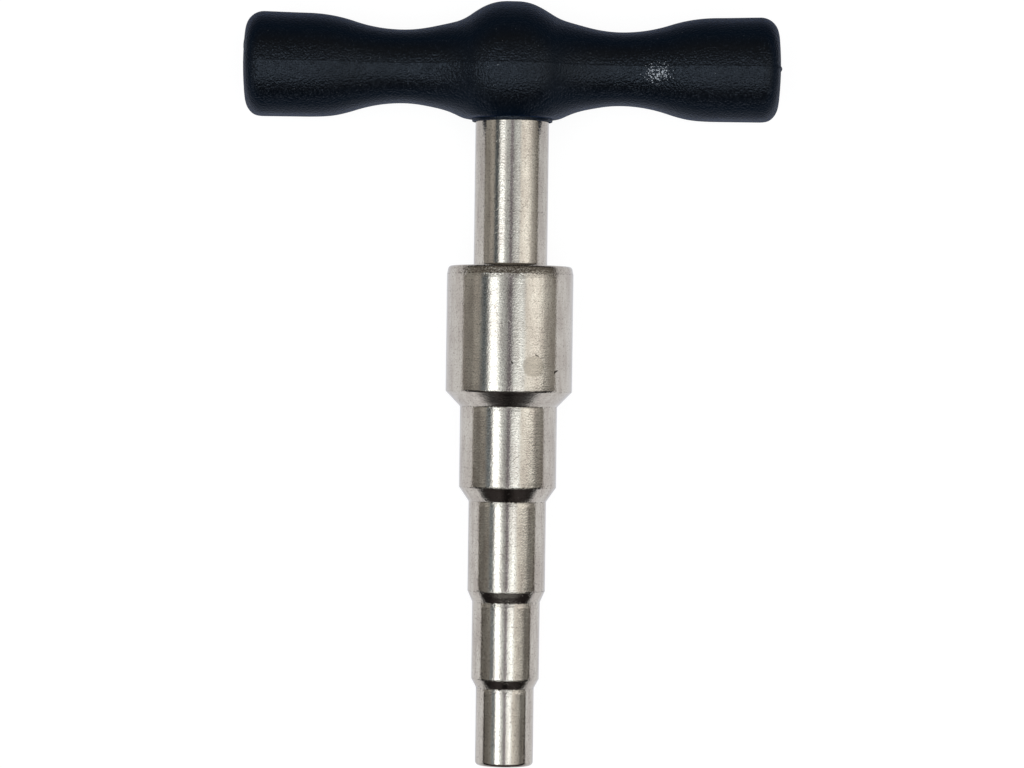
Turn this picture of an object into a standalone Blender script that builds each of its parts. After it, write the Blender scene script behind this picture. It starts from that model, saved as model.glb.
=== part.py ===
# Pipe calibrator: a stepped steel mandrel in a moulded T-handle, lying on a bench
import math

import bmesh
import bpy
from mathutils import Matrix, Vector

# Pieces are designed upright, tip at the origin, mandrel up Z and handle arms along X.
# An empty then lays the whole tool on its back. All sizes are in metres.

# Gap kept between pieces that are pressed or moulded together
SEAT_GAP = 0.0003

# Bore of the pipe that each step sizes, from the tip up
TIP_BORE = 0.012
SECOND_BORE = 0.014
THIRD_BORE = 0.016
FOURTH_BORE = 0.020
LAST_BORE = 0.026

# A step is this much smaller in diameter than its pipe's bore
BORE_CLEARANCE = 0.0002

# Straight length of each step, from the tip up
TIP_LENGTH = 0.0158
SECOND_LENGTH = 0.0156
THIRD_LENGTH = 0.0182
FOURTH_LENGTH = 0.0164
LAST_LENGTH = 0.0256

# Length of the cone that leads a pipe from each step on to the next
TIP_LEAD = 0.0019
SECOND_LEAD = 0.0023
THIRD_LEAD = 0.0029
FOURTH_LEAD = 0.0031

TIP_ROUND = 0.0008
EDGE_BREAK = 0.0003
SHOULDER_ROUND = 0.0014
NECK_FILLET = 0.0006

SHANK_DIAMETER = 0.015
SHANK_LENGTH = 0.030

# The end of the mandrel inside the handle, and the dowel through it
TANG_COLLAR = 0.0035
TANG_ACROSS_FLATS = 0.012
TANG_PAST_PIN = 0.007
TANG_CHAMFER = 0.0008
PIN_DIAMETER = 0.006
PIN_LENGTH = 0.060
PIN_CHAMFER = 0.0006

# The handle's outline, turned about its long axis
HANDLE_LENGTH = 0.110
GRIP_DIAMETER = 0.0211
GRIP_FROM_MIDDLE = 0.042
WAIST_DIAMETER = 0.0148
WAIST_FROM_MIDDLE = 0.0223
HUB_DIAMETER = 0.0270
CROWN_RADIUS = 0.0140
CROWN_LAND = 0.002
END_CORNER_RADIUS = 0.0030
END_DOME_RADIUS = 0.060

# The lip that closes round the shank, and the rim of flat hub left outside it
LIP_HEIGHT = 0.0004
LIP_WALL = 0.0004
SEAT_LAND = 0.0002

# Facets round each turned piece, and along each long arc and each small round of an outline
MANDREL_FACETS = 72
HANDLE_FACETS = 56
PIN_FACETS = 24
ARC_STEPS = 6
ROUND_STEPS = 4
DOME_STEPS = 3

# Points closer than this are one point, and a bend sharper than this angle is an edge
SAME_POINT = 1e-6
SHARP_BEND = math.radians(25)

# The steps, the shank and its socket turn a flat of their facets to the bench, not a corner
MANDREL_START = math.pi / MANDREL_FACETS

STEEL = ("nickel_plated_steel", (0.62, 0.58, 0.53), 0.25, 1.0)
PIN_STEEL = ("bright_steel", (0.56, 0.57, 0.58), 0.30, 1.0)
POLYAMIDE = ("black_polyamide", (0.011, 0.013, 0.017), 0.50, 0.0)


# Helpers


def clear_scene():
    for old in list(bpy.data.objects):
        bpy.data.objects.remove(old)


def finish_of(look):
    """The Principled material for a (name, colour, roughness, metallic) look."""
    name, colour, roughness, metallic = look
    made = bpy.data.materials.new(name)
    made.use_nodes = True
    shader = made.node_tree.nodes["Principled BSDF"]
    shader.inputs["Base Color"].default_value = (*colour, 1.0)
    shader.inputs["Roughness"].default_value = roughness
    shader.inputs["Metallic"].default_value = metallic
    made.diffuse_color = (*colour, 1.0)
    return made


def arc(centre, radius, start, end, steps=ARC_STEPS):
    """Points along an arc, from one angle to another, both included."""
    across, along = centre
    turn = (end - start) / steps
    angles = [start + turn * i for i in range(steps + 1)]
    return [(across + radius * math.cos(a), along + radius * math.sin(a)) for a in angles]


def turned(name, outline, facets, start=0.0):
    """A solid turned about Z from (radius, height) points that start and end on the axis.

    The first line of facet corners stands at the start angle.
    """
    mesh = bpy.data.meshes.new(name)
    form = bmesh.new()
    ray = Vector((math.cos(start), math.sin(start), 0.0))
    points = [form.verts.new(ray * radius + Vector((0.0, 0.0, height))) for radius, height in outline]
    edges = [form.edges.new(pair) for pair in zip(points, points[1:])]
    bmesh.ops.spin(
        form, geom=points + edges, cent=(0, 0, 0), axis=(0, 0, 1), angle=math.tau, steps=facets
    )
    bmesh.ops.remove_doubles(form, verts=form.verts, dist=SAME_POINT)
    bmesh.ops.recalc_face_normals(form, faces=form.faces)
    form.to_mesh(mesh)
    form.free()
    mesh.shade_smooth()
    mesh.set_sharp_from_angle(angle=SHARP_BEND)
    made = bpy.data.objects.new(name, mesh)
    bpy.context.scene.collection.objects.link(made)
    return made


def block(name, size, middle):
    """A plain box, used as a milling cutter."""
    form = bmesh.new()
    bmesh.ops.create_cube(form, size=1.0, matrix=Matrix.Diagonal((*size, 1.0)))
    mesh = bpy.data.meshes.new(name)
    form.to_mesh(mesh)
    form.free()
    made = bpy.data.objects.new(name, mesh)
    made.location = middle
    bpy.context.scene.collection.objects.link(made)
    return made


def combine(target, tool, operation):
    """Cuts the tool out of the target, or joins it on, and puts the tool out of sight."""
    step = target.modifiers.new(tool.name, "BOOLEAN")
    step.operation = operation
    step.solver = "EXACT"
    step.object = tool
    tool.hide_render = True
    tool.display_type = "WIRE"
    tool.parent = target.parent


def along_x(piece):
    """Turns a piece made about Z so that it lies along X."""
    piece.data.transform(Matrix.Rotation(math.pi / 2, 4, "Y"))


# Heights that several pieces share


def step_sizes():
    """Each step from the tip up as (radius, straight length, length of the cone above it)."""
    steps = [
        (TIP_BORE, TIP_LENGTH, TIP_LEAD),
        (SECOND_BORE, SECOND_LENGTH, SECOND_LEAD),
        (THIRD_BORE, THIRD_LENGTH, THIRD_LEAD),
        (FOURTH_BORE, FOURTH_LENGTH, FOURTH_LEAD),
        (LAST_BORE, LAST_LENGTH, 0.0),
    ]
    return [((bore - BORE_CLEARANCE) / 2, straight, lead) for bore, straight, lead in steps]


def shoulder_height():
    return sum(straight + lead for _, straight, lead in step_sizes())


def seat_height():
    return shoulder_height() + SHANK_LENGTH


def lip_radius():
    return SHANK_DIAMETER / 2 + SEAT_GAP + LIP_WALL


def handle_height():
    """The flat under the hub is just wide enough for the lip, which sets how deep it is cut."""
    flat = lip_radius() + SEAT_LAND
    return seat_height() + math.sqrt((HUB_DIAMETER / 2) ** 2 - flat**2)


def tang_top():
    return handle_height() + TANG_PAST_PIN


def tool_length():
    return handle_height() + HUB_DIAMETER / 2


# Mandrel


def step_outline():
    """The sizing steps, from the middle of the tip to the top of the last one."""
    steps = step_sizes()
    tip = steps[0][0]
    outline = [(0.0, 0.0)]
    outline += arc((tip - TIP_ROUND, TIP_ROUND), TIP_ROUND, -math.pi / 2, 0.0, ROUND_STEPS)
    foot = 0.0
    for below, above in zip(steps, steps[1:]):
        radius, straight, lead = below
        outline.append((radius, foot + straight))
        foot += straight + lead
        slope = (above[0] - radius) / lead
        outline.append((above[0] - slope * EDGE_BREAK, foot - EDGE_BREAK))
        outline.append((above[0], foot + EDGE_BREAK))
    corner = (steps[-1][0] - SHOULDER_ROUND, shoulder_height() - SHOULDER_ROUND)
    outline += arc(corner, SHOULDER_ROUND, 0.0, math.pi / 2, ROUND_STEPS)
    return outline


def shank_outline():
    """The shank, from the fillet on the last step to the middle of its far end."""
    shank = SHANK_DIAMETER / 2
    corner = (shank + NECK_FILLET, shoulder_height() + NECK_FILLET)
    outline = arc(corner, NECK_FILLET, -math.pi / 2, -math.pi, ROUND_STEPS)
    outline.append((shank, tang_top() - TANG_CHAMFER))
    outline.append((shank - TANG_CHAMFER, tang_top()))
    outline.append((0.0, tang_top()))
    return outline


def mill_flats(blank, gap):
    """Mills the two flats that key the tang, or those of its socket, a gap further out."""
    foot = seat_height() + TANG_COLLAR + gap
    reach = HUB_DIAMETER
    depth = SHANK_DIAMETER
    for side in (-1, 1):
        middle = side * (TANG_ACROSS_FLATS / 2 + gap + depth / 2)
        tool = block(f"{blank.name}_flat_{side}", (reach, depth, reach), (0, middle, foot + reach / 2))
        combine(blank, tool, "DIFFERENCE")


def cross_hole(name):
    """A cutter for the hole that the cross pin fills, a seat gap larger than the pin."""
    radius = PIN_DIAMETER / 2 + SEAT_GAP
    half = PIN_LENGTH / 2 + SEAT_GAP
    tool = turned(name, [(0, -half), (radius, -half), (radius, half), (0, half)], PIN_FACETS)
    along_x(tool)
    tool.location.z = handle_height()
    return tool


def make_mandrel(tool):
    """The stepped bar, turned in one piece, with a flatted and cross-drilled tang."""
    mandrel = turned("mandrel", step_outline() + shank_outline(), MANDREL_FACETS, MANDREL_START)
    mandrel.parent = tool
    mandrel.data.materials.append(finish_of(STEEL))
    mill_flats(mandrel, 0.0)
    combine(mandrel, cross_hole("mandrel_cross_hole"), "DIFFERENCE")


# Cross pin


def make_cross_pin(tool):
    """The dowel through the tang, which carries the twist into both arms of the handle."""
    radius = PIN_DIAMETER / 2
    half = PIN_LENGTH / 2
    outline = [(0.0, -half), (radius - PIN_CHAMFER, -half), (radius, -half + PIN_CHAMFER)]
    outline += [(across, -along) for across, along in reversed(outline)]
    pin = turned("cross_pin", outline, PIN_FACETS)
    along_x(pin)
    pin.parent = tool
    pin.location.z = handle_height()
    pin.data.materials.append(finish_of(PIN_STEEL))


# Handle


def half_outline():
    """The handle from its middle to one end as (radius, distance), all in arcs that meet smoothly.

    The hub is straight across the land on top of its crown, which the tool lies on. The crown
    runs straight into the arc of the waist, so the waist's arc follows from the crown's. Two
    equal arcs then lead out to the grip, which a domed end closes.
    """
    hub, waist, grip = HUB_DIAMETER / 2, WAIST_DIAMETER / 2, GRIP_DIAMETER / 2
    crown_middle = hub - CROWN_RADIUS
    rise = waist - crown_middle
    fall = WAIST_FROM_MIDDLE - CROWN_LAND / 2
    inner = (fall**2 + rise**2 - CROWN_RADIUS**2) / (2 * (CROWN_RADIUS - rise))
    meet = math.atan2(fall, rise + inner)
    outline = arc((crown_middle, CROWN_LAND / 2), CROWN_RADIUS, 0.0, meet)
    outline += arc((waist + inner, WAIST_FROM_MIDDLE), inner, math.pi + meet, math.pi)[1:]

    run = GRIP_FROM_MIDDLE - WAIST_FROM_MIDDLE
    step = grip - waist
    outer = (run**2 + step**2) / (4 * step)
    swing = math.asin(run / 2 / outer)
    outline += arc((waist + outer, WAIST_FROM_MIDDLE), outer, math.pi, math.pi - swing)[1:]
    outline += arc((grip - outer, GRIP_FROM_MIDDLE), outer, -swing, 0.0)[1:]

    dome_middle = HANDLE_LENGTH / 2 - END_DOME_RADIUS
    corner_across = grip - END_CORNER_RADIUS
    reach = END_DOME_RADIUS - END_CORNER_RADIUS
    corner_along = dome_middle + math.sqrt(reach**2 - corner_across**2)
    lean = math.atan2(corner_along - dome_middle, corner_across)
    outline += arc((corner_across, corner_along), END_CORNER_RADIUS, 0.0, lean, ROUND_STEPS)
    outline += arc((0.0, dome_middle), END_DOME_RADIUS, lean, math.pi / 2, DOME_STEPS)[1:]
    outline[-1] = (0.0, HANDLE_LENGTH / 2)
    return outline


def seat_cutter():
    """A facing tool that flattens the underside of the hub."""
    middle = seat_height() - HUB_DIAMETER / 2
    return block("seat_cutter", (HUB_DIAMETER, HUB_DIAMETER, HUB_DIAMETER), (0, 0, middle))


def neck_lip():
    """The thin collar at the mouth of the socket, turned about the shank."""
    outside = lip_radius()
    foot = seat_height() - LIP_HEIGHT
    root = seat_height() + LIP_WALL
    outline = [(0.0, foot), (outside, foot), (outside, root), (0.0, root)]
    return turned("neck_lip", outline, MANDREL_FACETS, MANDREL_START)


def socket_cutter():
    """The tang's shape a seat gap larger, open at the bottom."""
    radius = SHANK_DIAMETER / 2 + SEAT_GAP
    foot = seat_height() - LIP_HEIGHT - SEAT_GAP
    top = tang_top() + SEAT_GAP
    outline = [(0.0, foot), (radius, foot), (radius, top - TANG_CHAMFER), (radius - TANG_CHAMFER, top)]
    outline.append((0.0, top))
    tool = turned("socket_cutter", outline, MANDREL_FACETS, MANDREL_START)
    mill_flats(tool, SEAT_GAP)
    return tool


def make_handle(tool):
    """The moulded T-handle: a waisted bar with a round hub, flat where the shank enters."""
    half = half_outline()
    outline = [(across, -along) for across, along in reversed(half)] + half
    handle = turned("handle", outline, HANDLE_FACETS)
    along_x(handle)
    handle.parent = tool
    handle.location.z = handle_height()
    handle.data.materials.append(finish_of(POLYAMIDE))
    combine(handle, seat_cutter(), "DIFFERENCE")
    combine(handle, neck_lip(), "UNION")
    combine(handle, socket_cutter(), "DIFFERENCE")
    combine(handle, cross_hole("handle_cross_hole"), "DIFFERENCE")


def main():
    clear_scene()
    tool = bpy.data.objects.new("tool", None)
    bpy.context.scene.collection.objects.link(tool)
    make_mandrel(tool)
    make_cross_pin(tool)
    make_handle(tool)
    # The tool lies with its tip towards -Y, and the widest piece, the hub, touches the bench
    tool.rotation_euler.x = -math.pi / 2
    tool.location = (0.0, -tool_length() / 2, HUB_DIAMETER / 2)


main()
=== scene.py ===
import math

import bpy
import numpy as np
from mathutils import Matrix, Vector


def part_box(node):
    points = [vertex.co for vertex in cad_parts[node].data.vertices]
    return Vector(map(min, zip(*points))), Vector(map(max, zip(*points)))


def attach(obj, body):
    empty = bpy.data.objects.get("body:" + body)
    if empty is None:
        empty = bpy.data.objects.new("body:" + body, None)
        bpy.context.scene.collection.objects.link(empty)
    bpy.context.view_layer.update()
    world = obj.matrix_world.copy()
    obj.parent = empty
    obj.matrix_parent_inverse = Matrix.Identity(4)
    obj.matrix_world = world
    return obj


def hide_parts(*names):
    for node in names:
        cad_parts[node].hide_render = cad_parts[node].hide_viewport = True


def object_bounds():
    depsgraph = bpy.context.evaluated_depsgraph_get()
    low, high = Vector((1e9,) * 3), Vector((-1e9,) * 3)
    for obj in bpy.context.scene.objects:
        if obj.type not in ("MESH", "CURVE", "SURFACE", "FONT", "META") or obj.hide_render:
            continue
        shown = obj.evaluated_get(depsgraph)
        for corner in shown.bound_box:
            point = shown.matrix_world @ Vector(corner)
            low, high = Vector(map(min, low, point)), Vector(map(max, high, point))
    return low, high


# A pipe calibrator lying on a white bench under a window, seen from straight above
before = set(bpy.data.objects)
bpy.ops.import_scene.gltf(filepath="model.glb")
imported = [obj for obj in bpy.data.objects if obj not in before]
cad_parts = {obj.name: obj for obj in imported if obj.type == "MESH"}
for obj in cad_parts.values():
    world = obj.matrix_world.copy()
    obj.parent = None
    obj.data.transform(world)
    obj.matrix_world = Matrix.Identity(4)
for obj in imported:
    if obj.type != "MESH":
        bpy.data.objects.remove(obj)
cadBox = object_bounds()
print("frame loaded")

mm = 0.001

# What every piece is placed from: the tip is at the low end of Y, the axis at half the height
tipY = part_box("mandrel")[0].y
topY = cadBox[1].y
axisZ = (cadBox[0].z + cadBox[1].z) / 2


def linear(code):
    # sRGB hex to linear: below 0.04045 a twelfth, above it a 2.4 power
    parts = [int(code[i:i + 2], 16) / 255 for i in (1, 3, 5)]
    return [c / 12.92 if c <= 0.04045 else ((c + 0.055) / 1.055) ** 2.4 for c in parts]


# Camera

camera = {
    "distance": 0.750,       # from the lens to the middle of the tool, in metres
    "pixelsPerMm": 4.9,      # at the mandrel's axis, in the 1024 pixel wide picture
    "tipRow": 765.0,         # picture row of the tip
    "middle": (512.0, 384.0),
    "axisColumn": 508.83,    # where the mandrel's axis crosses the middle row
    "roll": 0.76,            # degrees that the tool leans clockwise in the picture
}


def makeCamera(c):
    # Looks straight down. The lens is as long as the distance times the sensor over the width it sees.
    data = bpy.data.cameras.new("camera")
    made = bpy.data.objects.new("camera", data)
    bpy.context.scene.collection.objects.link(made)
    perMetre = c["pixelsPerMm"] / mm
    across = (c["middle"][0] - c["axisColumn"]) / perMetre
    along = tipY + (c["tipRow"] - c["middle"][1]) / perMetre
    made.location = (across, along, axisZ + c["distance"])
    made.rotation_euler = (0, 0, math.radians(c["roll"]))
    data.sensor_width = 36
    data.lens = data.sensor_width * c["distance"] * perMetre / (2 * c["middle"][0])
    data.clip_start = 0.01
    bpy.context.scene.camera = made


makeCamera(camera)
print("camera set")


# Meshes from numbers


def meshObject(name, points, faces):
    # A smooth object from a list of points and one of faces
    mesh = bpy.data.meshes.new(name)
    mesh.from_pydata(points.tolist(), [], faces)
    mesh.shade_smooth()
    mesh.update()
    made = bpy.data.objects.new(name, mesh)
    bpy.context.scene.collection.objects.link(made)
    return made


def ringMesh(name, rings, start, end):
    # rings is an m x n x 3 grid of closed rings, start and end the poles that close it.
    # Point (i, j) joins (i + 1, j) and (i, j + 1), and j wraps round.
    m, n = rings.shape[:2]
    points = np.vstack([rings.reshape(-1, 3), start, end])
    i, j = np.meshgrid(np.arange(m - 1), np.arange(n), indexing="ij")
    k = (j + 1) % n
    quads = np.stack([i * n + j, i * n + k, (i + 1) * n + k, (i + 1) * n + j], -1).reshape(-1, 4)
    around, after = np.arange(n), (np.arange(n) + 1) % n
    last = (m - 1) * n
    foot = np.stack([np.full(n, m * n), after, around], -1)
    head = np.stack([np.full(n, m * n + 1), last + around, last + after], -1)
    return meshObject(name, points, quads.tolist() + foot.tolist() + head.tolist())


def arc(centre, radius, start, end, steps):
    # centre plus radius times (cos a, sin a), for a from start to end in equal steps
    a = np.linspace(start, end, steps + 1)
    return np.stack([centre[0] + radius * np.cos(a), centre[1] + radius * np.sin(a)], -1)


def rounded(points, radii, steps=6):
    # A broken line with each inner corner replaced by an arc that touches both its sides.
    # The arc starts radius / tan(half the corner's angle) before the corner and ends as far after it.
    out = [np.array([points[0]])]
    for before, corner, after, radius in zip(points, points[1:], points[2:], radii):
        p, c, q = np.array(before), np.array(corner), np.array(after)
        a, b = (p - c) / np.linalg.norm(p - c), (q - c) / np.linalg.norm(q - c)
        half = math.acos(np.clip(a @ b, -1, 1)) / 2
        reach = radius / math.tan(half)
        middle = c + (a + b) / np.linalg.norm(a + b) * radius / math.sin(half)
        foot, head = c + a * reach - middle, c + b * reach - middle
        t = np.linspace(0, 1, steps + 1)[:, None]
        swing = math.pi - 2 * half
        out.append(middle + (np.sin((1 - t) * swing) * foot + np.sin(t * swing) * head) / math.sin(swing))
    out.append(np.array([points[-1]]))
    return np.vstack(out)


def spaced(line, gap, support):
    # The same line with its long stretches cut into steps of about gap, and one more point
    # a support's length inside each end of a stretch, which keeps the shading of edges narrow.
    out = [line[:1]]
    for p, q in zip(line, line[1:]):
        length = np.linalg.norm(q - p)
        if length > 4 * support:
            inner = np.linspace(support, length - support, max(2, int(length / gap) + 1)) / length
            out.append(p + inner[:, None] * (q - p))
        out.append(q[None])
    return np.vstack(out)


def lathe(name, profile, facets, origin):
    # Turns (radius, height) points about Y: radius * sin a across, radius * cos a up, height along.
    a = np.linspace(0, 2 * math.pi, facets, endpoint=False)
    radius, height = profile[1:-1, 0:1], profile[1:-1, 1:2]
    along = np.broadcast_to(height, (len(radius), facets))
    rings = np.stack([radius * np.sin(a), along, radius * np.cos(a)], -1)
    poles = [np.array([0, profile[i, 1], 0]) + origin for i in (0, -1)]
    return ringMesh(name, rings + origin, poles[0], poles[1])


def carve(target, tool, operation):
    # Cuts the tool out of the target's mesh, or joins it on, and throws the tool away
    step = target.modifiers.new(tool.name, "BOOLEAN")
    step.operation = operation
    step.solver = "EXACT"
    step.object = tool
    bpy.context.view_layer.update()
    solid = target.evaluated_get(bpy.context.evaluated_depsgraph_get())
    mesh = bpy.data.meshes.new_from_object(solid)
    target.modifiers.clear()
    target.data = mesh
    bpy.data.objects.remove(tool)


# Mandrel

mandrel = {
    # diameter, straight length and lead cone of each step in mm, from the tip up
    "steps": [(11.8, 15.8, 1.9), (13.8, 15.6, 2.3), (15.8, 18.2, 2.9), (19.8, 16.4, 3.1), (25.8, 25.6, 0)],
    "tipRound": 0.8,
    "edgeRound": 0.50,       # where a cone meets the step above it
    "footRound": 0.35,       # where a cone leaves the step below it
    # the broken shoulder of the last step: how far in, how far below its top, and how round
    "shoulder": [(0, 1.75, 0.4), (0.32, 0.05, 0.7)],
    "neckRound": 0.5,
    "shank": 15.0,
    "tangTop": 149.368,      # height of the hidden end, above the tip
    "tangChamfer": 0.8,
    "facets": 288,
    "pointGap": 0.8,         # between the points of a long stretch, and from its ends to the next point
    "edgeSupport": 0.06,
    "wearReach": 0.22,       # how far wear and dirt reach from an edge
    "soilMargin": 0.1,       # how far soil climbs past the shoulder, and how far off the shank it starts
    "soilAt": -2.5,          # where it is thickest across the bar, and how it thins out from there
    "soilThins": ([4.5, 8.5], [1, 0.3]),
}


def mandrelProfile(m):
    # The outline as (radius, height) points in mm, with two shares for each point: wear, which is
    # exp of minus the squared distance to the next edge over the reach, and soil on the shoulder
    points, radii = [(0, 0), (m["steps"][0][0] / 2, 0)], [m["tipRound"]]
    height = 0
    for below, above in zip(m["steps"], m["steps"][1:]):
        points.append((below[0] / 2, height + below[1]))
        height += below[1] + below[2]
        points.append((above[0] / 2, height))
        radii += [m["footRound"], m["edgeRound"]]
    height += m["steps"][-1][1]
    for inwards, down, radius in m["shoulder"]:
        points.append((m["steps"][-1][0] / 2 - inwards, height - down))
        radii.append(radius)
    shank, chamfer, top = m["shank"] / 2, m["tangChamfer"], m["tangTop"]
    points += [(shank, height), (shank, top), (0, top)]
    radii += [m["neckRound"], chamfer]
    corners = np.array(points[1:-2])
    profile = spaced(rounded(points, radii), m["pointGap"], m["edgeSupport"])
    gap = np.linalg.norm(profile[:, None] - corners[None], axis=2).min(axis=1)
    wear = np.exp(-((gap / m["wearReach"]) ** 2))
    start, end = height - m["shoulder"][0][1], height + m["soilMargin"]
    off = profile[:, 0] > shank + m["soilMargin"]
    soil = ((profile[:, 1] > start) & (profile[:, 1] < end) & off) * 1.0
    return profile * mm, wear, soil


def makeMandrel(m):
    # The turned bar, with both shares as attributes of its points
    profile, wear, soil = mandrelProfile(m)
    made = lathe("mandrelBar", profile, m["facets"], np.array([0, tipY, axisZ]))
    # Soil sits in a patch at the front and at the back of the shoulder, and thins out towards both sides
    spots = np.empty(len(made.data.vertices) * 3, np.float32)
    made.data.vertices.foreach_get("co", spots)
    caked = np.interp(np.abs(spots[::3] / mm - m["soilAt"]), *m["soilThins"])
    for name, share, kept in (("edgeWear", wear, 1), ("shoulderSoil", soil, caked)):
        layer = made.data.attributes.new(name, "FLOAT", "POINT")
        values = np.concatenate([np.repeat(share[1:-1], m["facets"]), [0, 0]]) * kept
        layer.data.foreach_set("value", values.astype(np.float32))
    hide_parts("mandrel")
    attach(made, "root")
    return made


mandrelBar = makeMandrel(mandrel)
print("mandrel turned", len(mandrelBar.data.polygons))


# Handle

handle = {
    "length": 109.5,
    "offset": -0.2,          # how far left of the mandrel's axis its middle sits
    "grip": 21.1,
    "gripFromMiddle": 42.0,
    "waist": 14.8,
    "waistFromMiddle": 22.3,
    "hub": 27.0,
    "crownRadius": 14.0,
    "crownLand": 2.0,
    "endCorner": 3.8,
    "endDome": 60.0,
    "endFlare": 0.28,        # how much the ends widen on the side away from the mandrel
    "pinch": 0.74,           # how much slimmer the crown is on that side, and where along X
    "pinchFrom": 9.0,
    "pinchReach": 3.8,
    "pinchLean": 0.5,
    "belly": 0.28,           # how much fuller the arms are on the mandrel's side
    "seatRim": 8.4,          # radius of the flat under the hub
    "seatEdge": 0.5,         # how softly that flat meets the round
    "lipRadius": 8.2,
    "lipHeight": 0.6,
    "socketRadius": 7.8,
    "lipRoot": 0.6,          # how deep the lip is let into the hub
    "lipCorner": 0.15,
    "socketFloor": 7.3,      # its depth, as a height over the handle's own axis
    "socketMouth": 1.0,      # how far the cutter stands out of the lip
    "partingHeight": 0.04,   # the line of flash where the two halves of the mould met
    "partingWidth": 0.10,
    "partingPoints": (3, 13),    # how many widths to each side stand close, and in how many points
    "draft": 0.05,           # slope of both mould halves away from that line
    "draftReach": 3.0,
    "gateAt": (4.0, 1.0),    # the mark that the gate left on the left end
    "gateRadius": 1.2,
    "gateHeight": 0.18,
    "flash": 0.25,           # a nick of flash on the right end, and its width
    "flashWidth": 0.3,
    # where those forms fade in: by radius off the long axis, then by distance from the middle
    "fadeIn": {"arms": (4, 9), "line": (1, 6), "lineEnd": (11, 13), "flare": (40, 54), "belly": (12, 18),
               "ends": (53, 54.3)},
    "arcSteps": (20, 24, 14, 14, 16, 30),    # crown, waist, both arcs to the grip, corner and dome
    "pointGap": 0.8,
    "edgeSupport": 0.2,
    "creaseAngle": 35,
    "facets": 200,
}


def handleProfile(h):
    # Half outline: crown, waist, two equal arcs out to the grip, corner and dome, all tangent
    hub, waist, grip = h["hub"] / 2, h["waist"] / 2, h["grip"] / 2
    crownMiddle, land, out = hub - h["crownRadius"], h["crownLand"] / 2, h["waistFromMiddle"]
    rise, fall = waist - crownMiddle, out - land
    inner = (fall**2 + rise**2 - h["crownRadius"] ** 2) / (2 * (h["crownRadius"] - rise))
    meet = math.atan2(fall, rise + inner)
    run, step = h["gripFromMiddle"] - out, grip - waist
    outer = (run**2 + step**2) / (4 * step)
    swing = math.asin(run / 2 / outer)
    domeMiddle = h["length"] / 2 - h["endDome"]
    cornerX = grip - h["endCorner"]
    cornerY = domeMiddle + math.sqrt((h["endDome"] - h["endCorner"]) ** 2 - cornerX**2)
    lean = math.atan2(cornerY - domeMiddle, cornerX)
    steps = h["arcSteps"]
    half = np.vstack([
        arc((crownMiddle, land), h["crownRadius"], 0, meet, steps[0]),
        arc((waist + inner, out), inner, math.pi + meet, math.pi, steps[1])[1:],
        arc((waist + outer, out), outer, math.pi, math.pi - swing, steps[2])[1:],
        arc((grip - outer, h["gripFromMiddle"]), outer, -swing, 0, steps[3])[1:],
        arc((cornerX, cornerY), h["endCorner"], 0, lean, steps[4]),
        arc((0, domeMiddle), h["endDome"], lean, math.pi / 2, steps[5])[1:],
    ])
    half = spaced(half, h["pointGap"], h["edgeSupport"])
    return np.vstack([half[::-1] * (1, -1), half])


def smoothStep(x, ends):
    # 3 t squared less 2 t cubed, where t runs from 0 at one end to 1 at the other
    t = np.clip((x - ends[0]) / (ends[1] - ends[0]), 0, 1)
    return t * t * (3 - 2 * t)


def handleRings(h, angles):
    # Each ring of the outline about X, changed on the back and front sides, with the parting line
    # on a ridge, and pressed flat under the hub by a soft maximum of its own height and the seat's
    profile = handleProfile(h)[1:-1]
    radius, along, fade = profile[:, 0:1], profile[:, 1:2], h["fadeIn"]
    side, up = np.sin(angles)[None, :], np.cos(angles)[None, :]
    back, front, full = np.clip(side, 0, 1) ** 2, np.clip(-side, 0, 1) ** 2, smoothStep(radius, fade["arms"])
    flare = h["endFlare"] * smoothStep(np.abs(along), fade["flare"]) * full * back
    slim = (np.abs(along + h["pinchLean"]) - h["pinchFrom"]) / h["pinchReach"]
    change = flare - h["pinch"] * np.exp(-(slim**2)) * back
    change = change + h["belly"] * smoothStep(np.abs(along), fade["belly"]) * full * front
    fold = np.abs(side) * radius
    line = np.exp(-((fold / h["partingWidth"]) ** 2)) - smoothStep(radius, fade["lineEnd"])
    ridge = h["draft"] * fold * np.exp(-((fold / h["draftReach"]) ** 2))
    reach = radius + change + (h["partingHeight"] * line - ridge) * smoothStep(radius, fade["line"])
    across, height = reach * side, reach * up
    gate = np.hypot(across - h["gateAt"][0], height - h["gateAt"][1])
    nub = h["gateHeight"] * np.exp(-((gate / h["gateRadius"]) ** 4))
    nick = h["flash"] * np.exp(-((across / h["flashWidth"]) ** 2))
    # Neither nub nor nick reaches past the solid's own ends
    limit = (cadBox[1].x - cadBox[0].x) / 2 / mm
    left, right = smoothStep(-along, fade["ends"]), smoothStep(along, fade["ends"])
    along = np.clip(along - nub * left + nick * right + h["offset"], -limit, limit)
    seat, soft = -math.sqrt((h["hub"] / 2) ** 2 - h["seatRim"] ** 2), h["seatEdge"]
    near = np.clip(0.5 - (across - seat) / (2 * soft), 0, 1)
    blend = across + soft * near**2
    across = np.where(across > seat + soft, across, np.where(across < seat - soft, seat, blend))
    return np.stack([along, across, height], -1) * mm


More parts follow.
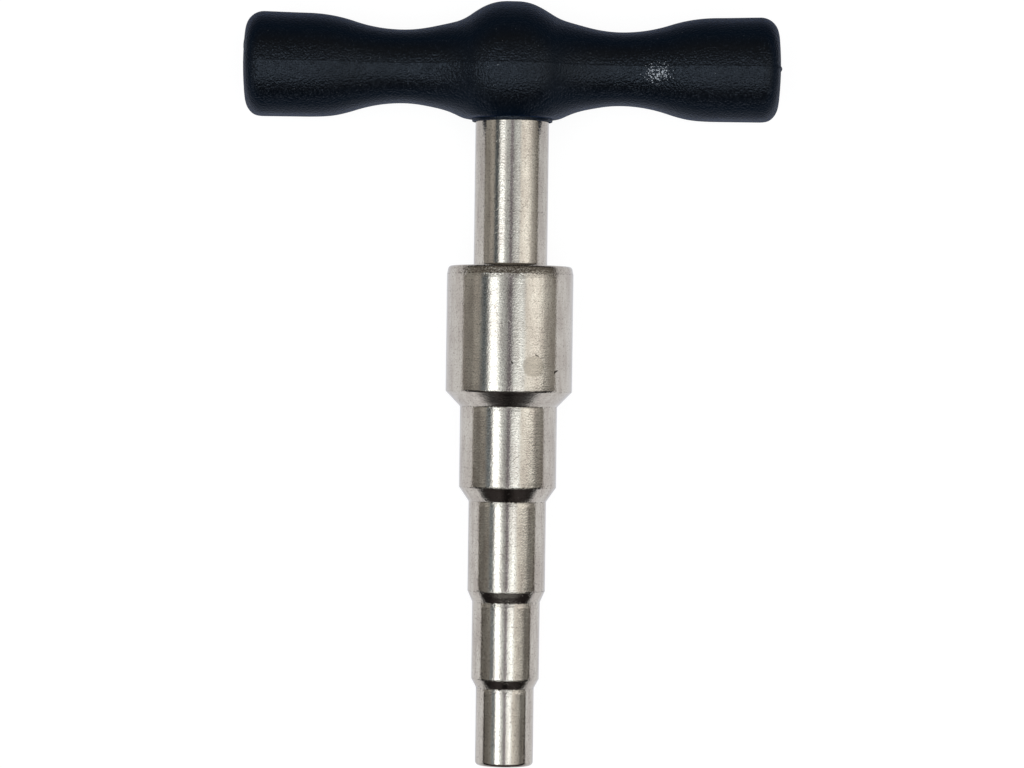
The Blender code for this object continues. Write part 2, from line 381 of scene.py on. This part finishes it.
def makeHandle(h):
    # The moulding, with the lip joined on under the hub and the socket cut through it
    axis = np.array([0, topY - h["hub"] / 2 * mm, axisZ])
    even = np.linspace(0, 2 * math.pi, h["facets"], endpoint=False)
    # Points stand close together where the parting line runs, at the front and the back
    widths, points = h["partingPoints"]
    near = np.linspace(-widths, widths, points) * h["partingWidth"] / (h["grip"] / 2)
    angles = np.unique(np.round(np.concatenate([even, near % (2 * math.pi), near + math.pi]), 9))
    ends = [axis + ((s * h["length"] / 2 + h["offset"]) * mm, 0, 0) for s in (-1, 1)]
    made = ringMesh("handleMoulding", handleRings(h, angles) + axis, ends[0], ends[1])
    seat = -math.sqrt((h["hub"] / 2) ** 2 - h["seatRim"] ** 2)
    lip, root = seat - h["lipHeight"], seat + h["lipRoot"]
    ring = rounded([(0, lip), (h["lipRadius"], lip), (h["lipRadius"], root), (0, root)], [h["lipCorner"]] * 2)
    carve(made, lathe("lip", ring * mm, h["facets"], axis), "UNION")
    floor, mouth = h["socketFloor"], lip - h["socketMouth"]
    bore = np.array([(0, mouth), (h["socketRadius"], mouth), (h["socketRadius"], floor), (0, floor)])
    carve(made, lathe("socket", bore * mm, h["facets"], axis), "DIFFERENCE")
    made.data.shade_smooth()
    made.data.set_sharp_from_angle(angle=math.radians(h["creaseAngle"]))
    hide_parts("handle")
    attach(made, "root")
    return made


handleMoulding = makeHandle(handle)
print("handle moulded", len(handleMoulding.data.polygons))


# Materials


def node(tree, kind, links=(), values=(), stops=(), **settings):
    # One node: links are (input, node, output), values are (input, value), stops are a ramp's
    # (place, red, green, blue) in rising order, and the rest are settings
    made = tree.nodes.new(kind)
    for key, value in settings.items():
        setattr(made, key, value)
    for name, value in values:
        made.inputs[name].default_value = value
    for name, source, output in links:
        tree.links.new(source.outputs[output], made.inputs[name])
    for i, (at, *colour) in enumerate(stops):
        stop = made.color_ramp.elements[i] if i < 2 else made.color_ramp.elements.new(at)
        stop.position, stop.color = at, (*colour, 1)
    return made


def between(ends, levels=(0, 1)):
    # The values of a Map Range node that turns the first pair into the second
    return [("From Min", ends[0]), ("From Max", ends[1]), ("To Min", levels[0]), ("To Max", levels[1])]


def blankMaterial(name):
    # A material without nodes, and its tree
    made = bpy.data.materials.new(name)
    made.use_nodes = True
    made.node_tree.nodes.clear()
    return made, made.node_tree


nickel = {
    "colour": "#dad3c5",
    "stain": "#c6bdb0",
    "stainSize": (1.6, 7.0, 1.6),      # mm, blotches drawn out along the bar
    "stainFrom": (0.35, 0.65),         # noise at which the blotches start and are whole
    "roughness": 0.07,
    "roughnessFrom": (0.3, 0.7),       # noise of the turning marks over which the roughness changes
    "roughnessShares": (0.7, 1.3),
    # Real turning marks and grit are several times finer: these are as coarse as they need to show
    "markSpacing": 0.42,               # mm between turning marks
    "markLength": 100 / 9,             # mm that each runs on round the bar
    "markDepth": 0.006,                # mm, as all depths here
    "gritSize": 0.34,                  # mm, pits and pimples that show in the edges of reflections
    "gritDepth": 0.018,
    "pit": "#867d73",
    "pitSize": 0.36,                   # mm
    "pitShareOfMarks": 0.14,
    "pitFrom": (0.61, 0.78),
    "pitShare": 0.75,
    "scratchSize": (1.5, 0.13, 1.5),   # mm
    "scratchTurns": (40, -48),         # degrees
    "scratchFrom": (0.80, 0.84),
    "scratchDepth": 0.010,
    "dirt": "#3a332c",
    "dirtFrom": (0.52, 0.60),
    "dentSize": 0.38,                  # mm
    "dentDepth": 0.09,
    "knocks": [(0.6, 4.2, 35), (9.4, 2.4, -50), (5.6, 5.6, 70)],   # mm across and along, and degrees
    "knockSize": (0.22, 0.6, 40),      # mm
    "knockFray": 1.6,                  # how far the grit frays them, in their own sizes
    "knockFrom": (1.9, 1.6),
    "smudge": "#aea698",
    "smudgeShare": 0.85,
    "smudgeAt": (4.9, 3.4),            # mm, where a thumb left a round mark on the last step
    "smudgeEdge": (2.8, 2.35),         # mm from its middle where it starts, and where it is whole
    "smudgeFray": 0.9,                 # mm
    "soil": "#7d6f63",
    "soilFrom": (0.46, 0.60),
    "soilShare": 0.75,
    "soiledRoughness": 0.14,
}


def nickelPlatedSteel(n):
    # Bright nickel over a turned bar: a warm mirror, drawn out round the bar by fine tool marks,
    # and gritty where the plate copied the pits of the steel
    made, tree = blankMaterial("nickelPlatedSteel")
    place = node(tree, "ShaderNodeTexCoord")
    # Tool marks run round the bar: fine along Y, long across it
    marks = node(tree, "ShaderNodeMapping", [("Vector", place, "Object")],
                 [("Scale", [1 / (n[size] * mm) for size in ("markLength", "markSpacing", "markLength")])])
    turning = node(tree, "ShaderNodeTexNoise", [("Vector", marks, "Vector")], [("Scale", 1), ("Detail", 1)])
    grit = node(tree, "ShaderNodeTexNoise", [("Vector", place, "Object")],
                [("Scale", 1 / (n["gritSize"] * mm)), ("Detail", 2), ("Roughness", 0.6)])
    # Rubbing has left short bright scratches, two ways across each other
    scratches = []
    for turn in n["scratchTurns"]:
        lean = node(tree, "ShaderNodeMapping", [("Vector", place, "Object")],
                    [("Rotation", (0, 0, math.radians(turn))), ("Scale", [s * mm for s in n["scratchSize"]])],
                    vector_type="TEXTURE")
        hair = node(tree, "ShaderNodeTexNoise", [("Vector", lean, "Vector")], [("Scale", 1), ("Detail", 0)])
        scratches.append(node(tree, "ShaderNodeMapRange", [("Value", hair, 0)], between(n["scratchFrom"])))
    either = node(tree, "ShaderNodeMath", [(0, scratches[0], 0), (1, scratches[1], 0)], operation="MAXIMUM")
    bumpOne = node(tree, "ShaderNodeBump", [("Height", turning, 0)], [("Distance", n["markDepth"] * mm)])
    bumpTwo = node(tree, "ShaderNodeBump", [("Height", grit, 0), ("Normal", bumpOne, 0)],
                   [("Distance", n["gritDepth"] * mm)])
    bumpThree = node(tree, "ShaderNodeBump", [("Height", either, 0), ("Normal", bumpTwo, 0)],
                     [("Distance", n["scratchDepth"] * mm)], invert=True)
    # Worn edges and the soiled shoulder are knocked about: dents as deep as the edge is worn
    edge = node(tree, "ShaderNodeAttribute", attribute_name="edgeWear")
    soil = node(tree, "ShaderNodeAttribute", attribute_name="shoulderSoil")
    worn = node(tree, "ShaderNodeMath", [(0, edge, "Fac"), (1, soil, "Fac")], operation="MAXIMUM")
    ragged = node(tree, "ShaderNodeTexNoise", [("Vector", place, "Object")],
                  [("Scale", 1 / (n["dentSize"] * mm)), ("Detail", 2)])
    both = node(tree, "ShaderNodeMath", [(0, worn, 0), (1, ragged, 0)], operation="MULTIPLY")
    line = node(tree, "ShaderNodeMath", [(0, edge, "Fac"), (1, ragged, 0)], operation="MULTIPLY")
    bumpFour = node(tree, "ShaderNodeBump", [("Height", both, 0), ("Normal", bumpThree, 0)],
                    [("Distance", n["dentDepth"] * mm)], invert=True)
    drawn = node(tree, "ShaderNodeMapping", [("Vector", place, "Object")],
                 [("Scale", [s * mm for s in n["stainSize"]])], vector_type="TEXTURE")
    stain = node(tree, "ShaderNodeTexNoise", [("Vector", drawn, "Vector")], [("Scale", 1), ("Detail", 3)])
    cloudy = node(tree, "ShaderNodeMapRange", [("Value", stain, 0)], between(n["stainFrom"]))
    tint = node(tree, "ShaderNodeMix", [("Factor", cloudy, 0)],
                [(6, (*linear(n["colour"]), 1)), (7, (*linear(n["stain"]), 1))], data_type="RGBA")
    # Tiny pits, darker than the plate, more of them in some turning marks than in others
    sand = node(tree, "ShaderNodeTexNoise", [("Vector", place, "Object")],
                [("Scale", 1 / (n["pitSize"] * mm)), ("Detail", 3), ("Roughness", 0.7)])
    sown = node(tree, "ShaderNodeMath", [(0, turning, 0), (2, sand, 0)], [(1, n["pitShareOfMarks"])],
                operation="MULTIPLY_ADD")
    pitted = node(tree, "ShaderNodeMapRange", [("Value", sown, 0)], between(n["pitFrom"], (0, n["pitShare"])))
    tint = node(tree, "ShaderNodeMix", [("Factor", pitted, 0), (6, tint, 2)],
                [(7, (*linear(n["pit"]), 1))], data_type="RGBA")
    # Three knocks, dark at the bottom and no wider than a pencil point: the grit frays their edges
    nearest = None
    for across, along, turn in n["knocks"]:
        lean = node(tree, "ShaderNodeMapping", [("Vector", place, "Object")],
                    [("Location", (across * mm, along * mm, 0)), ("Rotation", (0, 0, math.radians(turn))),
                     ("Scale", [s * mm for s in n["knockSize"]])], vector_type="TEXTURE")
        away = node(tree, "ShaderNodeVectorMath", [(0, lean, "Vector")], operation="LENGTH")
        if nearest:
            away = node(tree, "ShaderNodeMath", [(0, nearest, "Value"), (1, away, "Value")],
                        operation="MINIMUM")
        nearest = away
    torn = node(tree, "ShaderNodeMath", [(0, grit, 0), (2, nearest, "Value")], [(1, n["knockFray"])],
                operation="MULTIPLY_ADD")
    knock = node(tree, "ShaderNodeMapRange", [("Value", torn, 0)], between(n["knockFrom"]))
    tint = node(tree, "ShaderNodeMix", [("Factor", knock, 0), (6, tint, 2)],
                [(7, (*linear(n["dirt"]), 1))], data_type="RGBA")
    # A round thumb mark, duller than the plate, with an edge frayed by noise
    where = node(tree, "ShaderNodeSeparateXYZ", [("Vector", place, "Object")])
    flat = node(tree, "ShaderNodeCombineXYZ", [("X", where, "X"), ("Y", where, "Y")])
    away = node(tree, "ShaderNodeVectorMath", [(0, flat, 0)], [(1, (*[c * mm for c in n["smudgeAt"]], 0))],
                operation="DISTANCE")
    frayed = node(tree, "ShaderNodeMath", [(0, grit, 0), (2, away, "Value")], [(1, n["smudgeFray"] * mm)],
                  operation="MULTIPLY_ADD")
    thumb = node(tree, "ShaderNodeMapRange", [("Value", frayed, 0)],
                 between([rim * mm for rim in n["smudgeEdge"]], (0, n["smudgeShare"])))
    tint = node(tree, "ShaderNodeMix", [("Factor", thumb, 0), (6, tint, 2)],
                [(7, (*linear(n["smudge"]), 1))], data_type="RGBA")
    # Brown soil clings to the shoulder, thinner where the sandy pits don't hold it
    caked = node(tree, "ShaderNodeMapRange", [("Value", sand, 0)],
                 between(n["soilFrom"], (0, n["soilShare"])))
    cover = node(tree, "ShaderNodeMath", [(0, caked, 0), (1, soil, "Fac")], operation="MULTIPLY")
    tint = node(tree, "ShaderNodeMix", [("Factor", cover, 0), (6, tint, 2)],
                [(7, (*linear(n["soil"]), 1))], data_type="RGBA")
    # Dirt sits in a ragged line along each edge
    dirty = node(tree, "ShaderNodeMapRange", [("Value", line, 0)], between(n["dirtFrom"]))
    colour = node(tree, "ShaderNodeMix", [("Factor", dirty, 0), (6, tint, 2)],
                  [(7, (*linear(n["dirt"]), 1))], data_type="RGBA")
    plain = node(tree, "ShaderNodeMapRange", [("Value", turning, 0)],
                 between(n["roughnessFrom"], [n["roughness"] * share for share in n["roughnessShares"]]))
    rough = node(tree, "ShaderNodeMix", [(0, soil, "Fac"), (2, plain, 0)], [(3, n["soiledRoughness"])])
    shader = node(tree, "ShaderNodeBsdfPrincipled",
                  [("Base Color", colour, 2), ("Roughness", rough, 0), ("Normal", bumpFour, 0)],
                  [("Metallic", 1)])
    node(tree, "ShaderNodeOutputMaterial", [("Surface", shader, 0)])
    return made


polyamide = {
    "colour": "#010205",
    # painted sparkle highlight on the pebble tops, and the heights at which it starts and is whole
    "paintedSparkle": "#1c2229",
    "paintedSparkleFrom": (0.25, 0.6),
    "dust": "#a9aeb3",
    "dustFrom": (0.78, 0.86),
    "tint": (0.72, 0.85, 1.0),   # of its gloss
    "haze": 0.27,            # a bluish bloom along the rims
    "hazeRoughness": 0.35,
    "hazeTint": (0.16, 0.38, 1.0),
    "paintedShadeAndRimBlue": "#071522",     # painted shade between the pebbles, bluish so that along the rims it also paints a bluish glow
    # how much of that painted shade is mixed in, from a surface seen square on to one seen edge on
    "shaded": [(0.10, 0.0), (0.30, 0.66), (0.44, 0.56), (0.62, 0.38), (0.82, 0.55), (1.0, 0.80)],
    "roughness": 0.30,
    "ior": 1.50,
    "specular": 0.48,
    "grainSize": 0.40,       # mm between the pimples of the grained mould
    "grainDepth": 0.10,
    "pebbleShare": -0.9,     # of the cells in the height, minus because they rise to their middles
    "speckSize": 1 / 3,      # mm
    "scuffAt": (29.2, -1.4), # mm from the middle of the handle, where a knock has whitened the grain
    "scuffSize": (2.8, 2.0), # mm
    "scuffFrom": (1.6, 0.4), # in those sizes, where its specks start and where they are thickest
    "scuffShare": 0.265,
}


def mouldedPolyamide(p):
    # Glass-filled nylon from a spark-eroded mould: near black, satin, with an even pebbled grain
    # that breaks every highlight into points
    made, tree = blankMaterial("mouldedPolyamide")
    place = node(tree, "ShaderNodeTexCoord")
    grain = node(tree, "ShaderNodeTexNoise", [("Vector", place, "Object")],
                 [("Scale", 1 / (p["grainSize"] * mm)), ("Detail", 1), ("Roughness", 0.5)])
    cells = node(tree, "ShaderNodeTexVoronoi", [("Vector", place, "Object")],
                 [("Scale", 1 / (p["grainSize"] * mm))])
    height = node(tree, "ShaderNodeMath", [(0, cells, "Distance"), (2, grain, 0)], [(1, p["pebbleShare"])],
                  operation="MULTIPLY_ADD")
    bump = node(tree, "ShaderNodeBump", [("Height", height, 0)], [("Distance", p["grainDepth"] * mm)])
    # Painted highlight: the tops of the pebbles are painted a little greyer than the black between them, as
    # the sparkle they would catch from the light
    paintedSparkle = node(tree, "ShaderNodeMapRange", [("Value", height, 0)], between(p["paintedSparkleFrom"]))
    # White specks where the grain is knocked, thick in the scuff and a few anywhere else
    hubY = topY - handle["hub"] / 2 * mm
    near = node(tree, "ShaderNodeMapping", [("Vector", place, "Object")],
                [("Location", (p["scuffAt"][0] * mm, hubY + p["scuffAt"][1] * mm, 0)),
                 ("Scale", (p["scuffSize"][0] * mm, p["scuffSize"][1] * mm, 1))], vector_type="TEXTURE")
    away = node(tree, "ShaderNodeVectorMath", [(0, near, "Vector")], operation="LENGTH")
    knocked = node(tree, "ShaderNodeMapRange", [("Value", away, "Value")],
                   between(p["scuffFrom"], (0, p["scuffShare"])))
    specks = node(tree, "ShaderNodeTexNoise", [("Vector", place, "Object")],
                  [("Scale", 1 / (p["speckSize"] * mm)), ("Detail", 1)])
    total = node(tree, "ShaderNodeMath", [(0, specks, 0), (1, knocked, 0)], operation="ADD")
    dusty = node(tree, "ShaderNodeMapRange", [("Value", total, 0)], between(p["dustFrom"]))
    pebbles = node(tree, "ShaderNodeMix", [("Factor", paintedSparkle, 0)],
                   [(6, (*linear(p["colour"]), 1)), (7, (*linear(p["paintedSparkle"]), 1))], data_type="RGBA")
    colour = node(tree, "ShaderNodeMix", [("Factor", dusty, 0), (6, pebbles, 2)],
                  [(7, (*linear(p["dust"]), 1))], data_type="RGBA")
    shader = node(tree, "ShaderNodeBsdfPrincipled", [("Base Color", colour, 2), ("Normal", bump, 0)],
                  [("Roughness", p["roughness"]), ("IOR", p["ior"]), ("Specular IOR Level", p["specular"]),
                   ("Specular Tint", (*p["tint"], 1)), ("Sheen Weight", p["haze"]),
                   ("Sheen Roughness", p["hazeRoughness"]), ("Sheen Tint", (*p["hazeTint"], 1))])
    # Painted shade: seen aslant, a dark bluish diffuse is mixed in for the shade the pebbles would cast on
    # the plastic between them, and right at the rims it takes most of the surface and paints a bluish rim
    # glow
    facing = node(tree, "ShaderNodeLayerWeight")
    shaded = node(tree, "ShaderNodeValToRGB", [("Fac", facing, "Facing")],
                  stops=[(at, share, share, share) for at, share in p["shaded"]])
    paintedShadeAndRimBlue = node(tree, "ShaderNodeBsdfDiffuse", [("Normal", bump, 0)],
                  [("Color", (*linear(p["paintedShadeAndRimBlue"]), 1))])
    every = node(tree, "ShaderNodeMixShader", [(0, shaded, 0), (1, shader, 0), (2, paintedShadeAndRimBlue, 0)])
    node(tree, "ShaderNodeOutputMaterial", [("Surface", every, 0)])
    return made


dowel = {
    "colour": "#c6c7c9",
    "lineLength": 50 / 3,    # mm
    "lineSpacing": 1 / 3,    # mm, coarser than real drawing lines, which are too fine to show
    "lineDepth": 0.01,       # mm
    "roughness": 0.3,
}


def brightDrawnSteel(d):
    # Drawn dowel steel, hidden in the handle: plain grey with fine lines along the bar
    made, tree = blankMaterial("brightDrawnSteel")
    place = node(tree, "ShaderNodeTexCoord")
    lines = node(tree, "ShaderNodeMapping", [("Vector", place, "Object")],
                 [("Scale", [1 / (d[size] * mm) for size in ("lineLength", "lineSpacing", "lineSpacing")])])
    drawn = node(tree, "ShaderNodeTexNoise", [("Vector", lines, "Vector")], [("Scale", 1)])
    bump = node(tree, "ShaderNodeBump", [("Height", drawn, 0)], [("Distance", d["lineDepth"] * mm)])
    shader = node(tree, "ShaderNodeBsdfPrincipled", [("Normal", bump, 0)],
                  [("Base Color", (*linear(d["colour"]), 1)), ("Metallic", 1), ("Roughness", d["roughness"])])
    node(tree, "ShaderNodeOutputMaterial", [("Surface", shader, 0)])
    return made


def dress(piece, material):
    # Gives the piece this material alone
    piece.data.materials.clear()
    piece.data.materials.append(material)


dress(mandrelBar, nickelPlatedSteel(nickel))
dress(handleMoulding, mouldedPolyamide(polyamide))
dress(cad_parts["cross_pin"], brightDrawnSteel(dowel))
print("materials made")


# Studio

studio = {
    # The room round the bench: degrees from straight up towards the right, and brightness as it
    # shows in the shank, in the last step and in the steps before it, and which tone
    "room": [
        # wall on the left, with a shelf that catches the light
        (-95, 0.36, 0.36, 0.26, "warm"), (-84, 0.33, 0.33, 0.19, "warm"), (-72, 0.29, 0.29, 0.17, "warm"),
        (-65, 0.50, 0.48, 0.22, "warm"), (-57, 0.44, 0.40, 0.24, "warm"),
        # dark door frame
        (-52, 0.20, 0.20, 0.30, "cool"), (-49, 0.10, 0.10, 0.29, "blue"), (-44, 0.11, 0.11, 0.30, "blue"),
        # window
        (-40, 0.28, 0.32, 0.44, "cool"), (-37, 0.72, 1.10, 1.20, "cool"), (-34, 1.00, 2.40, 2.40, "cool"),
        (-24, 1.08, 2.50, 2.60, "cool"), (-18, 0.84, 0.52, 1.34, "cool"),
        # ceiling
        (-9, 0.76, 0.28, 0.64, "cool"), (-5, 0.66, 0.40, 0.54, "cool"),
        # the camera and its stand, in the dark
        (-2, 0.42, 0.08, 0.30, "violet"), (3, 0.34, 0.08, 0.34, "violet"),
        # ceiling again, with its lamp
        (8, 0.50, 0.60, 1.35, "cool"), (17, 0.66, 0.80, 1.65, "cool"), (21, 0.78, 0.98, 2.00, "cool"),
        (26, 0.68, 0.78, 1.35, "cool"),
        # white wall on the right, dim at its foot
        (31, 0.98, 1.20, 0.96, "white"), (47, 0.93, 1.70, 0.64, "white"), (60, 0.80, 1.40, 0.44, "white"),
        (68, 0.58, 0.72, 0.18, "white"), (84, 0.18, 0.43, 0.24, "warm"), (95, 0.17, 0.40, 0.29, "warm"),
    ],
    # how far along the tool a mirrored ray points where the first of those gives way to the second,
    # and the second to the third
    "roomChanges": [(0.058, 0.040), (0.002, -0.012)],
    "tones": {
        "white": (1.0, 1.0, 1.0), "cool": (0.94, 1.0, 1.07), "blue": (0.85, 1.0, 1.16),
        "violet": (1.0, 0.94, 1.12), "warm": (1.02, 1.0, 0.98),
    },
    "roomSpan": 95,
    # the dim wall behind the bench, the slope over which it takes over, and how it is darkest below:
    # the height at which that sets in, and how far back
    "backWall": (0.15, 0.142, 0.132),
    "backWallFrom": (0.06, 0.36),
    "backWallFoot": (0.02, 0.016, 0.018),
    "footBelow": (0.36, 0.22),
    "footBehind": (0.5, 0.8),
    # the ceiling over the front of the bench, and the wall that it meets as far away as 1.35 times
    # its own height: brightness at four places off the middle, which is the darkest
    "frontCeiling": (0.15, 0.152, 0.156),
    "frontCeilingFrom": (-0.33, -0.66),
    "frontWall": [(0.06, 0.010), (0.22, 0.045), (0.45, 0.040), (0.65, 0.018)],
    "frontWallTone": (1.0, 0.9, 0.95),
    "frontWallFrom": (-1.22, -1.45),
    "floorColour": "#6f6f6f",
    "floorGap": 0.02,        # mm under the tool, so that the two don't touch
    "floorSeen": 0.915,      # glow of the bench to the camera, over its own lit grey
    # how the bench shows in the tool's reflections: its light falls off with the metres to the front,
    # is a third of that past its back edge, and gives way to a grey floor on both sides
    "floorMirrored": (0.75, 0.765, 0.83),
    "benchFront": [(0.085, 1.0), (0.105, 0.70), (0.15, 0.27), (0.20, 0.18), (0.26, 0.10), (0.50, 0.045)],
    "benchBack": (0.072, 0.095, 0.32),
    "benchSides": (0.34, 0.25),
    # the shade of the handle's arms: where it sets in along the tool, what it leaves, and how far
    # off the axis
    "armShade": (0.026, 0.046, 0.82),
    "armShadeFrom": (0.012, 0.040),
    "besideBench": (0.34, 0.325, 0.32),
    # the shade close to the tool: from where to where off the axis it clears, and what it leaves
    "nearTool": (0.010, 0.045, 0.98),
    "floorSize": 6.0,
    "lampHeight": 1.0,
    "lampSize": 1.2,
    "lampPower": 5.0,
}


def roomRamp(tree, s, share, column):
    # One ramp across the room, from the left horizon over the top to the right one
    stops = []
    for stop in s["room"]:
        at = (stop[0] + s["roomSpan"]) / (2 * s["roomSpan"])
        stops.append((at, *[stop[column] * c for c in s["tones"][stop[-1]]]))
    return node(tree, "ShaderNodeValToRGB", [("Fac", share, 0)], stops=stops)


def makeRoom(s):
    # What the tool mirrors, by the direction of the ray. The camera itself sees plain white.
    world = bpy.data.worlds.new("room")
    bpy.context.scene.world = world
    world.use_nodes = True
    tree = world.node_tree
    tree.nodes.clear()
    place = node(tree, "ShaderNodeTexCoord")
    parts = node(tree, "ShaderNodeSeparateXYZ", [("Vector", place, "Generated")])
    angle = node(tree, "ShaderNodeMath", [(0, parts, "X"), (1, parts, "Z")], operation="ARCTAN2")
    span = math.radians(s["roomSpan"])
    share = node(tree, "ShaderNodeMapRange", [("Value", angle, 0)], between((-span, span)))
    over, output = roomRamp(tree, s, share, 1), 0
    for column, slopes in enumerate(s["roomChanges"], 2):
        change = node(tree, "ShaderNodeMapRange", [("Value", parts, "Y")], between(slopes))
        ramp = roomRamp(tree, s, share, column)
        over = node(tree, "ShaderNodeMix", [("Factor", change, 0), (6, over, output), (7, ramp, 0)],
                    data_type="RGBA")
        output = 2
    # Towards both ends of the tool the room falls off to a dim ceiling and a dim wall
    for wall in ("frontCeiling", "backWall"):
        fall = node(tree, "ShaderNodeMapRange", [("Value", parts, "Y")], between(s[wall + "From"]),
                    interpolation_type="SMOOTHSTEP")
        over = node(tree, "ShaderNodeMix", [("Factor", fall, 0), (6, over, 2)], [(7, (*s[wall], 1))],
                    data_type="RGBA")
    # The back wall is only lit above the height of the bench
    low = node(tree, "ShaderNodeMapRange", [("Value", parts, "Z")], between(s["footBelow"]))
    behind = node(tree, "ShaderNodeMapRange", [("Value", parts, "Y")], between(s["footBehind"]))
    both = node(tree, "ShaderNodeMath", [(0, low, 0), (1, behind, 0)], operation="MULTIPLY")
    over = node(tree, "ShaderNodeMix", [("Factor", both, 0), (6, over, 2)], [(7, (*s["backWallFoot"], 1))],
                data_type="RGBA")
    # The front wall starts where the ceiling ends
    slope = node(tree, "ShaderNodeMath", [(0, parts, "Y"), (1, parts, "Z")], operation="DIVIDE")
    wall = node(tree, "ShaderNodeMapRange", [("Value", slope, 0)], between(s["frontWallFrom"]))
    aside = node(tree, "ShaderNodeMath", [(0, parts, "X")], operation="ABSOLUTE")
    dim = node(tree, "ShaderNodeValToRGB", [("Fac", aside, 0)],
               stops=[(at, *[level * c for c in s["frontWallTone"]]) for at, level in s["frontWall"]])
    over = node(tree, "ShaderNodeMix", [("Factor", wall, 0), (6, over, 2), (7, dim, 0)], data_type="RGBA")
    lit = node(tree, "ShaderNodeBackground", [("Color", over, 2)])
    white = node(tree, "ShaderNodeBackground", values=[("Color", (1, 1, 1, 1))])
    path = node(tree, "ShaderNodeLightPath")
    seen = node(tree, "ShaderNodeMixShader", [(0, path, "Is Camera Ray"), (1, lit, 0), (2, white, 0)])
    node(tree, "ShaderNodeOutputWorld", [("Surface", seen, 0)])


def makeFloor(s):
    # A white bench: lit grey with a glow for the camera, and a glow of its own for the tool's mirror
    half, z = s["floorSize"] / 2, cadBox[0].z - s["floorGap"] * mm
    corners = np.array([(-half, -half, z), (half, -half, z), (half, half, z), (-half, half, z)])
    floor = meshObject("bench", corners, [(0, 1, 2, 3)])
    made, tree = blankMaterial("whiteBench")
    path = node(tree, "ShaderNodeLightPath")
    place = node(tree, "ShaderNodeTexCoord")
    parts = node(tree, "ShaderNodeSeparateXYZ", [("Vector", place, "Object")])
    forward = node(tree, "ShaderNodeMath", [(0, parts, "Y")], [(1, -1)], operation="MULTIPLY")
    near = node(tree, "ShaderNodeValToRGB", [("Fac", forward, 0)],
                stops=[(at, level, level, level) for at, level in s["benchFront"]])
    back = node(tree, "ShaderNodeMapRange", [("Value", parts, "Y")],
                between(s["benchBack"], (1, s["benchBack"][2])))
    aside = node(tree, "ShaderNodeMath", [(0, parts, "X")], operation="ABSOLUTE")
    clear = node(tree, "ShaderNodeMapRange", [("Value", aside, 0)],
                 between(s["nearTool"], (s["nearTool"][2], 1)))
    ends = node(tree, "ShaderNodeMath", [(0, near, 0), (1, back, 0)], operation="MULTIPLY")
    # The arms of the handle shade the bench on both sides of the shank
    under = node(tree, "ShaderNodeMapRange", [("Value", parts, "Y")],
                 between(s["armShade"], (1, s["armShade"][2])))
    beside = node(tree, "ShaderNodeMapRange", [("Value", aside, 0)], between(s["armShadeFrom"]))
    arms = node(tree, "ShaderNodeMix", [(0, beside, 0), (3, under, 0)], [(2, 1)])
    ends = node(tree, "ShaderNodeMath", [(0, ends, 0), (1, arms, 0)], operation="MULTIPLY")
    bright = node(tree, "ShaderNodeMath", [(0, ends, 0), (1, clear, 0)], operation="MULTIPLY")
    within = node(tree, "ShaderNodeMapRange", [("Value", aside, 0)], between(s["benchSides"]))
    tone = node(tree, "ShaderNodeMix", [("Factor", within, 0)],
                [(6, (*s["besideBench"], 1)), (7, (*s["floorMirrored"], 1))], data_type="RGBA")
    mirrored = node(tree, "ShaderNodeMath", [(0, path, "Is Glossy Ray"), (1, bright, 0)],
                    operation="MULTIPLY")
    lit = node(tree, "ShaderNodeMix", [("Factor", path, "Is Glossy Ray")],
               [(6, (*linear(s["floorColour"]), 1)), (7, (0, 0, 0, 1))], data_type="RGBA")
    grey = node(tree, "ShaderNodeBsdfDiffuse", [("Color", lit, 2)])
    seen = node(tree, "ShaderNodeMath", [(0, path, "Is Camera Ray")], [(1, s["floorSeen"])],
                operation="MULTIPLY")
    shine = node(tree, "ShaderNodeEmission", [("Strength", seen, 0)])
    glow = node(tree, "ShaderNodeEmission", [("Strength", mirrored, 0), ("Color", tone, 2)])
    both = node(tree, "ShaderNodeAddShader", [(0, shine, 0), (1, glow, 0)])
    every = node(tree, "ShaderNodeAddShader", [(0, grey, 0), (1, both, 0)])
    node(tree, "ShaderNodeOutputMaterial", [("Surface", every, 0)])
    floor.data.materials.append(made)


def makeLamp(s):
    # One broad soft lamp overhead, kept out of the reflections, where the room stands for it
    data = bpy.data.lights.new("softbox", "AREA")
    data.size = s["lampSize"]
    data.energy = s["lampPower"]
    lamp = bpy.data.objects.new("softbox", data)
    lamp.location = (0, 0, s["lampHeight"])
    lamp.visible_glossy = False
    bpy.context.scene.collection.objects.link(lamp)


makeRoom(studio)
makeFloor(studio)
makeLamp(studio)
bpy.context.scene.view_settings.view_transform = "Standard"
print("studio lit")
